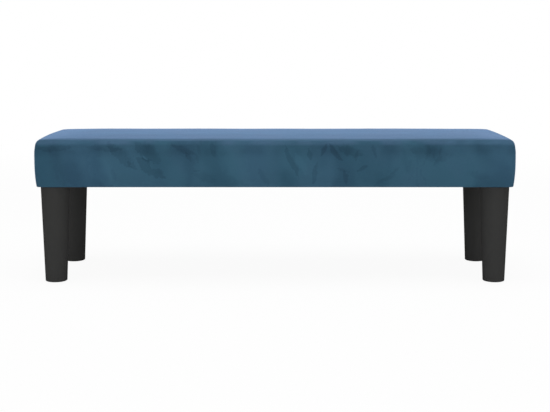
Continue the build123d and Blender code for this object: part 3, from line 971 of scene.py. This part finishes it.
def fillOut(piece, held, values):  # stuffs the cover from inside, held along its hem
    mesh = piece.data
    start = [(v.co.copy(), v.normal.copy()) for v in mesh.vertices]
    group = piece.vertex_groups.new(name="held")
    group.add(list(range(held)), 1.0, "REPLACE")
    cloth = piece.modifiers.new("fillOut", "CLOTH")
    cloth.settings.quality = values["quality"]
    cloth.settings.tension_stiffness = values["stretch"]
    cloth.settings.compression_stiffness = values["stretch"]
    cloth.settings.shear_stiffness = values["stretch"] / 3
    cloth.settings.bending_stiffness = values["bend"]
    cloth.settings.vertex_group_mass = "held"
    cloth.settings.use_pressure = True
    cloth.settings.uniform_pressure_force = values["pressure"]
    cloth.settings.effector_weights.gravity = 0
    cloth.collision_settings.use_collision = False
    cloth.point_cache.frame_end = values["frames"]
    scene = bpy.context.scene
    for number in range(1, values["frames"] + 1):
        scene.frame_set(number)
    shown = piece.evaluated_get(bpy.context.evaluated_depsgraph_get()).data
    ends = [v.co.copy() for v in shown.vertices]
    piece.modifiers.remove(cloth)
    piece.vertex_groups.remove(group)
    scene.frame_set(1)
    for vertex, (before, normal), after in zip(mesh.vertices, start, ends):
        moved = after - before
        moved -= normal * min(moved.dot(normal), 0)  # the padding stops it from going in
        if moved.length > 0:
            vertex.co = before + moved.normalized() * values["cap"] * math.tanh(moved.length / values["cap"])
    mesh.update()


def makeCover(values):
    points, faces, held = coverSkin(values)
    piece = newPiece("velvetCover", points, faces, velvet)
    low, run, takenIn = coverLow.z, values["lowerRun"], values["takenIn"]
    moveAlongNormals(piece, lambda p: -takenIn * ramp(p.z - low, run))
    fillOut(piece, held, values)
    moveAlongNormals(piece, lambda p: drift(p) * ramp(p.z - low, run))
    shell = piece.modifiers.new("fabric", "SOLIDIFY")
    shell.thickness = seatForm["fabric"]
    shell.offset = -1
    shell.use_even_offset = True
    applyModifiers(piece)
    declare(piece, "velvet_cover")
    print("velvet cover:", len(piece.data.polygons), "faces")


makeCover(coverValues)


# Foam slab on the seat board

foamValues = {"steps": (110, 34, 3), "sideSteps": 3, "lowerRun": 6 * mm}


def makeFoam(values):
    steps = values["steps"]
    points, faces = [], []
    rings = [sideRing(z, underCover, steps) for z in levels(boardHigh.z, edgeStart, values["sideSteps"])]
    rings += edgeRings(underCover, steps)
    addRings(points, faces, rings)
    addPatch(points, faces, len(points) - len(rings[0]), steps, seatForm["crownRise"], False)
    addPatch(points, faces, 0, steps, 0.0, True)
    piece = newPiece("foamSlab", points, faces, foam)
    moveAlongNormals(piece, lambda p: drift(p) * ramp(p.z - boardHigh.z, values["lowerRun"]))
    declare(piece, "top_foam")


makeFoam(foamValues)


# Wadding round the frame's sides

waddingValues = {
    "steps": (220, 70, 4),
    "heightSteps": 14,
    "longCount": 200,           # points along the front or back, and along an end
    "shortCount": 56,
    "lumpHeight": 0.35 * mm,
    "lumpScale": 60.0,
    "softening": 1.2 * mm,      # bevel along the strips' edges
}


def pathWhere(ring, inside):  # the stretch of a ring for which inside is above 0, cut exactly at its two ends
    size = len(ring)
    first = next(i for i in range(size) if inside(ring[i - 1]) <= 0 < inside(ring[i]))
    path = []
    for i in range(first, first + size):
        p, before = ring[i % size], ring[(i - 1) % size]
        now, last = inside(p), inside(before)
        if now > 0 and last <= 0 or now <= 0 < last:
            path.append(before.lerp(p, last / (last - now)))
        if now <= 0:
            break
        path.append(p)
    return path


def resample(path, count):  # the path as evenly spaced points
    lengths = [0.0]
    for a, b in zip(path, path[1:]):
        lengths.append(lengths[-1] + (b - a).length)
    out, k = [], 0
    for i in range(count):
        target = lengths[-1] * i / (count - 1)
        while k < len(path) - 2 and lengths[k + 1] < target:
            k += 1
        part = (target - lengths[k]) / max(lengths[k + 1] - lengths[k], 1e-12)
        out.append(path[k].lerp(path[k + 1], min(part, 1)))
    return out


def makeWadding(name, node, inside, face, count, values):
    points, faces, rings = [], [], []
    for z in levels(railLow.z, boardHigh.z, values["heightSteps"]):
        outer = resample(pathWhere(sideRing(z, underCover, values["steps"]), inside), count)
        inner = [face(p) for p in outer]
        if (outer[0] - inner[0]).length < 0.01 * mm:  # the strip's ends run out to nothing
            inner = inner[1:-1]
        rings.append(outer + inner[::-1])
    addRings(points, faces, rings)
    size = len(rings[0])
    faces.append(tuple(reversed(range(size))))
    faces.append(tuple(range(len(points) - size, len(points))))
    piece = newPiece(name, points, faces, wadding)
    mesh = piece.data
    normals = [v.normal.copy() for v in mesh.vertices]
    for r in range(1, len(rings) - 1):
        for index in range(r * size + 1, r * size + count - 1):  # the outer face, without its rims
            p = mesh.vertices[index].co
            lump = abs(noise.noise(p * values["lumpScale"])) * values["lumpHeight"]
            mesh.vertices[index].co = p + normals[index] * (drift(p) - lump)
    mesh.update()
    soften = piece.modifiers.new("soften", "BEVEL")
    soften.width = values["softening"]
    soften.segments = 2
    soften.angle_limit = math.radians(50)
    applyModifiers(piece)
    piece.data.shade_smooth()
    declare(piece, node)


def makeWaddings(values):
    faceX, faceY = railHigh.x, -railLow.y
    for name, node, side in (("frontWadding", "front_wadding", -1), ("backWadding", "back_wadding", 1)):
        makeWadding(
            name, node,
            lambda p: side * p.y - faceY,
            lambda p: Vector((p.x, side * faceY, p.z)),
            values["longCount"], values,
        )
    for name, node, side in (("leftWadding", "left_wadding", -1), ("rightWadding", "right_wadding", 1)):
        makeWadding(
            name, node,
            lambda p: min(faceY - abs(p.y), side * p.x - faceX),
            lambda p: Vector((side * faceX, p.y, p.z)),
            values["shortCount"], values,
        )


makeWaddings(waddingValues)
print("foam and wadding ready")


# Dust cover: a stretched cloth under the frame that sags a little between its staples

dustLow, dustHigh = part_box("dust_cover")
legNames = ("front_left", "front_right", "back_left", "back_right")
legMiddles = [sum(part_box(name + "_leg_stud"), Vector()) / 2 for name in legNames]
legRadius = (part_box("front_left_leg")[1].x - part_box("front_left_leg")[0].x) / 2

dustValues = {
    "spacing": 6 * mm,
    "thickness": 0.4 * mm,
    "sag": 2.2 * mm,
    "wrinkle": 0.5 * mm,
    "swagLength": 330 * mm,     # from one low place to the next
    "creaseScale": (5, 26, 3.1),        # along, across, and which creases
    "heldEdge": (10 * mm, 50 * mm),     # flat so far from its edges, then free after that run
    "heldByLeg": (2 * mm, 40 * mm),
    "holeRadius": 4.5 * mm,
}


def dustLevel(x, y, values):  # how far the cloth hangs below the frame at a place
    inset = min(dustHigh.x - abs(x), dustHigh.y - abs(y))
    held, run = values["heldEdge"]
    free = ramp(inset - held, run)
    held, run = values["heldByLeg"]
    for middle in legMiddles:
        away = math.hypot(x - middle.x, y - middle.y)
        free = min(free, ramp(away - legRadius - held, run))
    scaleX, scaleY, which = values["creaseScale"]
    crease = noise.noise(Vector((x * scaleX, y * scaleY, which))) * values["wrinkle"]
    swag = 0.75 + 0.25 * math.cos(2 * math.pi * x / values["swagLength"])
    return eased(free) * (values["sag"] * swag + crease)


def cutHole(edit, centre, radius):
    def away(v):
        return math.hypot(v.co.x - centre.x, v.co.y - centre.y)

    gone = {v for v in edit.verts if away(v) < radius} | {min(edit.verts, key=away)}
    rim = {w for v in gone for f in v.link_faces for w in f.verts} - gone
    bmesh.ops.delete(edit, geom=list(gone), context="VERTS")
    for v in rim:
        out = Vector((v.co.x - centre.x, v.co.y - centre.y)).normalized() * radius
        v.co.x, v.co.y = centre.x + out.x, centre.y + out.y


def makeDustCover(values):
    width, depth = dustHigh.x - dustLow.x, dustHigh.y - dustLow.y
    countX, countY = round(width / values["spacing"]), round(depth / values["spacing"])
    middle = (dustLow.z + dustHigh.z) / 2
    points, faces = [], []
    for y in levels(dustLow.y, dustHigh.y, countY):
        for x in levels(dustLow.x, dustHigh.x, countX):
            points.append(Vector((x, y, middle - dustLevel(x, y, values))))
    row = countX + 1
    for j in range(countY):
        for i in range(countX):
            faces.append((j * row + i, j * row + i + 1, (j + 1) * row + i + 1, (j + 1) * row + i))
    piece = newPiece("dustCover", points, faces, dustCloth)
    edit = bmesh.new()
    edit.from_mesh(piece.data)
    for centre in legMiddles:  # a round hole for each stud
        cutHole(edit, centre, values["holeRadius"])
    edit.to_mesh(piece.data)
    edit.free()
    cloth = piece.modifiers.new("cloth", "SOLIDIFY")
    cloth.thickness = values["thickness"]
    cloth.offset = 0
    applyModifiers(piece)
    declare(piece, "dust_cover")
    print("dust cover:", len(piece.data.polygons), "faces")


makeDustCover(dustValues)


# Staples and screws: one shape from a node tree, placed on points read from the CAD groups

stapleValues = {
    "Wire Width": 0.7 * mm,
    "Wire Height": 0.6 * mm,
    "Bend Radius": 0.9 * mm,
    "Tilt": (math.radians(0.8), math.radians(1.2), math.radians(3.0)),  # the most it is turned, either way
    "Seed": 11,
}

screwValues = {
    "Core Radius": 1.4 * mm,
    "Thread Depth": 0.55 * mm,
    "Pitch": 1.8 * mm,
    "Head Radius": 4.0 * mm,
    "Head Height": 2.6 * mm,
    "Head Land": 0.3 * mm,
    "Plain Length": 5.0 * mm,   # from the head's face to where the thread starts
    "Tip Length": 4.0 * mm,
    "Recess Length": 4.2 * mm,
    "Recess Width": 0.9 * mm,
    "Recess Depth": 1.5 * mm,
    "Tilt": (0.0, 0.0, math.pi),  # turned about its own axis by any amount
    "Seed": 5,
    "rootShare": 0.45,          # how much of each turn is plain, between the thread's ridges
    "segments": 16,             # faces round a screw, and rows of them to each turn of the thread
    "rowsPerPitch": 4,
}


def looseParts(name):  # the points of each separate solid of a CAD group
    edit = bmesh.new()
    edit.from_mesh(cadNodes[name].data)
    bmesh.ops.remove_doubles(edit, verts=edit.verts, dist=0.001 * mm)
    parts, seen = [], set()
    for start in edit.verts:
        if start in seen:
            continue
        part, waiting = [], [start]
        seen.add(start)
        while waiting:
            vertex = waiting.pop()
            part.append(vertex.co.copy())
            for edge in vertex.link_edges:
                other = edge.other_vert(vertex)
                if other not in seen:
                    seen.add(other)
                    waiting.append(other)
        parts.append(part)
    edit.free()
    return parts


def partBox(part):
    low = Vector([min(p[i] for p in part) for i in range(3)])
    high = Vector([max(p[i] for p in part) for i in range(3)])
    return low, high


def staplePlace(part):  # the middle of the crown, its turn about Z, its length and the legs' length
    low, high = partBox(part)
    size = high - low
    turn = (0, 0, 0 if size.x > size.y else math.pi / 2)
    place = ((low.x + high.x) / 2, (low.y + high.y) / 2, low.z + stapleValues["Wire Height"] / 2)
    return place, turn, max(size.x, size.y), size.z


def screwPlace(part):  # the middle of the head's face, the turn that points Z to the tip, and the length
    low, high = partBox(part)
    size = high - low
    axis = max(range(3), key=lambda i: size[i])
    others = [i for i in range(3) if i != axis]
    middle = (low + high) / 2

    def spread(end):
        near = [p for p in part if abs(p[axis] - end) < 0.5 * mm]
        return max(math.hypot(*(p[i] - middle[i] for i in others)) for p in near)

    headIsLow = spread(low[axis]) > spread(high[axis])
    place, direction = middle.copy(), Vector((0, 0, 0))
    place[axis] = low[axis] if headIsLow else high[axis]
    direction[axis] = 1 if headIsLow else -1
    return tuple(place), tuple(direction.to_track_quat("Z", "Y").to_euler()), size[axis]


def newTree(name, inputs):
    tree = bpy.data.node_groups.new(name, "GeometryNodeTree")
    tree.interface.new_socket("Points", in_out="INPUT", socket_type="NodeSocketGeometry")
    for socket, kind in inputs:
        tree.interface.new_socket(socket, in_out="INPUT", socket_type="NodeSocket" + kind)
    tree.interface.new_socket("Geometry", in_out="OUTPUT", socket_type="NodeSocketGeometry")
    return tree, addNode(tree, "NodeGroupInput").outputs


def placeOnPoints(tree, given, shape, material):  # turned by each point's angles, with a small seeded tilt
    named = {"Name": "turn"}
    turn = addNode(tree, "GeometryNodeInputNamedAttribute", named, data_type="FLOAT_VECTOR").outputs[0]
    onPoints = {"Points": given["Points"], "Instance": shape, "Rotation": turn}
    placed = addNode(tree, "GeometryNodeInstanceOnPoints", onPoints).outputs[0]
    least = addNode(tree, "ShaderNodeVectorMath", {0: given["Tilt"], "Scale": -1.0}, operation="SCALE")
    limits = {0: least.outputs[0], 1: given["Tilt"], "Seed": given["Seed"]}
    tilt = addNode(tree, "FunctionNodeRandomValue", limits, data_type="FLOAT_VECTOR").outputs[0]
    tilted = {"Instances": placed, "Rotation": tilt, "Local Space": True}
    turned = addNode(tree, "GeometryNodeRotateInstances", tilted).outputs[0]
    real = addNode(tree, "GeometryNodeRealizeInstances", {0: turned}).outputs[0]
    coated = addNode(tree, "GeometryNodeSetMaterial", {"Geometry": real, "Material": material}).outputs[0]
    addNode(tree, "NodeGroupOutput", {"Geometry": coated})


def stapleTree(material):
    names = ("Crown Width", "Leg Length", "Wire Width", "Wire Height", "Bend Radius")
    inputs = [(name, "Float") for name in names] + [("Tilt", "Vector"), ("Seed", "Int")]
    tree, given = newTree("staples", inputs)
    line = addNode(tree, "GeometryNodeMeshLine", {"Count": 4}).outputs[0]
    side = minus(tree, addNode(tree, "GeometryNodeInputIndex").outputs[0], 1.5)
    reach = over(tree, minus(tree, given["Crown Width"], given["Wire Width"]), 2.0)
    across = times(tree, calc(tree, "SIGN", side), reach)
    onLeg = calc(tree, "GREATER_THAN", calc(tree, "ABSOLUTE", side), 1.0)
    corner = {"X": across, "Z": times(tree, onLeg, given["Leg Length"])}
    bend = addNode(tree, "ShaderNodeCombineXYZ", corner).outputs[0]
    shaped = addNode(tree, "GeometryNodeSetPosition", {"Geometry": line, "Position": bend}).outputs[0]
    wire = addNode(tree, "GeometryNodeMeshToCurve", {"Mesh": shaped}).outputs[0]
    rounding = {"Curve": wire, "Count": 4, "Radius": given["Bend Radius"], "Limit Radius": True}
    wire = addNode(tree, "GeometryNodeFilletCurve", rounding, mode="POLY").outputs[0]
    section = {"Width": given["Wire Width"], "Height": given["Wire Height"]}
    profile = addNode(tree, "GeometryNodeCurvePrimitiveQuadrilateral", section).outputs[0]
    soften = {"Curve": profile, "Count": 1, "Radius": times(tree, given["Wire Height"], 0.25)}
    profile = addNode(tree, "GeometryNodeFilletCurve", soften, mode="POLY").outputs[0]
    solid = {"Curve": wire, "Profile Curve": profile, "Fill Caps": True}
    placeOnPoints(tree, given, addNode(tree, "GeometryNodeCurveToMesh", solid).outputs[0], material)
    return tree


def screwRadius(tree, given, height, around, root):  # the head's cone, then the threaded shank to its tip
    cone = {
        0: height,
        1: given["Head Land"],
        2: given["Head Height"],
        3: given["Head Radius"],
        4: given["Core Radius"],
    }
    head = addNode(tree, "ShaderNodeMapRange", cone).outputs[0]
    left = minus(tree, given["Length"], height)
    pointed = calc(tree, "MINIMUM", over(tree, left, given["Tip Length"]), 1.0)
    turns = minus(tree, over(tree, height, given["Pitch"]), around)
    doubled = times(tree, calc(tree, "FRACT", turns), 2.0)
    wave = calc(tree, "ABSOLUTE", minus(tree, doubled, 1.0))
    ridge = calc(tree, "MULTIPLY", minus(tree, wave, root), 1.0 / (1.0 - root), clamp=True)
    threaded = calc(tree, "GREATER_THAN", height, given["Plain Length"])
    ridge = times(tree, times(tree, ridge, threaded), given["Thread Depth"])
    return times(tree, plus(tree, head, ridge), pointed)


def cutRecess(tree, given, body):  # the cross in the screw's head
    cut = addNode(tree, "GeometryNodeMeshBoolean", {"Mesh 1": body}, operation="DIFFERENCE", solver="EXACT")
    depth = times(tree, given["Recess Depth"], 2.0)
    for first, second in (("Recess Length", "Recess Width"), ("Recess Width", "Recess Length")):
        bar = {"Size": vectorOf(tree, given[first], given[second], depth)}
        tree.links.new(addNode(tree, "GeometryNodeMeshCube", bar).outputs[0], cut.inputs["Mesh 2"])
    return cut.outputs[0]


def screwTree(material, values):  # a grid rolled up round Z: its rows go down the screw, its columns round it
    names = ("Length", "Core Radius", "Thread Depth", "Pitch", "Head Radius", "Head Height", "Head Land")
    names += ("Plain Length", "Tip Length", "Recess Length", "Recess Width", "Recess Depth")
    inputs = [(name, "Float") for name in names] + [("Tilt", "Vector"), ("Seed", "Int")]
    tree, given = newTree("screws", inputs)
    pitches = over(tree, given["Length"], given["Pitch"])
    rows = calc(tree, "ROUND", times(tree, pitches, values["rowsPerPitch"]))
    size = {
        "Size X": 1.0,
        "Size Y": 1.0,
        "Vertices X": values["segments"] + 1,
        "Vertices Y": plus(tree, rows, 2.0),
    }
    grid = addNode(tree, "GeometryNodeMeshGrid", size).outputs[0]
    flat = axesOf(tree, addNode(tree, "GeometryNodeInputPosition").outputs[0])
    around = plus(tree, flat["X"], 0.5)
    row = calc(tree, "ROUND", times(tree, plus(tree, flat["Y"], 0.5), plus(tree, rows, 1.0)))
    down = calc(tree, "MAXIMUM", minus(tree, row, 1.0), 0.0)
    height = times(tree, over(tree, down, rows), given["Length"])
    radius = screwRadius(tree, given, height, around, values["rootShare"])
    radius = times(tree, radius, calc(tree, "GREATER_THAN", row, 0.5))  # the first row closes the head

    angle = times(tree, around, 2 * math.pi)
    x = times(tree, radius, calc(tree, "COSINE", angle))
    y = times(tree, radius, calc(tree, "SINE", angle))
    turned = {"Geometry": grid, "Position": vectorOf(tree, x, y, height)}
    body = addNode(tree, "GeometryNodeSetPosition", turned).outputs[0]
    merged = {"Geometry": body, "Distance": 0.002 * mm}
    body = addNode(tree, "GeometryNodeMergeByDistance", merged).outputs[0]
    placeOnPoints(tree, given, cutRecess(tree, given, body), material)
    return tree


def makeOnPoints(name, node, tree, places, values):  # one copy of the tree's shape on each place
    mesh = bpy.data.meshes.new(name + "Points")
    mesh.from_pydata([place for place, _ in places], [], [])
    turns = mesh.attributes.new("turn", "FLOAT_VECTOR", "POINT")
    for item, (_, turn) in zip(turns.data, places):
        item.vector = turn
    piece = bpy.data.objects.new(name, mesh)
    bpy.context.scene.collection.objects.link(piece)
    made = piece.modifiers.new("places", "NODES")
    made.node_group = tree
    for item in tree.interface.items_tree:
        if item.in_out == "INPUT" and item.name in values:
            made[item.identifier] = values[item.name]
    applyModifiers(piece)
    piece.data.shade_smooth()
    piece.data.set_sharp_from_angle(angle=math.radians(38))
    declare(piece, node)
    print(name, len(places), "pieces,", len(piece.data.polygons), "faces")


def makeStaples(values):
    tree = stapleTree(metals["stapleWire"])
    for name, node in (("hemStaples", "hem_staples"), ("dustCoverStaples", "dust_cover_staples")):
        found = [staplePlace(part) for part in looseParts(node)]
        sizes = {"Crown Width": found[0][2], "Leg Length": found[0][3] - values["Wire Height"] / 2}
        makeOnPoints(name, node, tree, [place[:2] for place in found], {**values, **sizes})


def makeScrews(values):
    tree = screwTree(metals["yellowZinc"], values)
    groups = {
        "railScrews": "rail_screws",
        "crossRailScrews": "cross_rail_screws",
        "cornerBlockScrews": "corner_block_screws",
        "boardScrews": "board_screws",
    }
    for name, node in groups.items():
        found = [screwPlace(part) for part in looseParts(node)]
        sizes = {**values, "Length": found[0][2]}
        makeOnPoints(name, node, tree, [place[:2] for place in found], sizes)


makeStaples(stapleValues)
makeScrews(screwValues)


# Materials of the pieces that the CAD model shows

nodeFinishes = {
    "seat_board": plywood,
    "corner_block": plywood,
    "front_rail": timberAlongX,
    "back_rail": timberAlongX,
    "end_rail": timberAlongY,
    "cross_rail": timberAlongY,
    "tee_nut": metals["zincPlate"],
    "leg_stud": metals["zincPlate"],
    "leg": legMoulding,
    "glide": glideMoulding,
}


def finishNodes(finishes):  # by the longest ending that a node's name has
    for name, node in cadNodes.items():
        if node.hide_render:
            continue
        ending = max((key for key in finishes if name.endswith(key)), key=len)
        for place in node.material_slots:
            place.material = finishes[ending]


finishNodes(nodeFinishes)
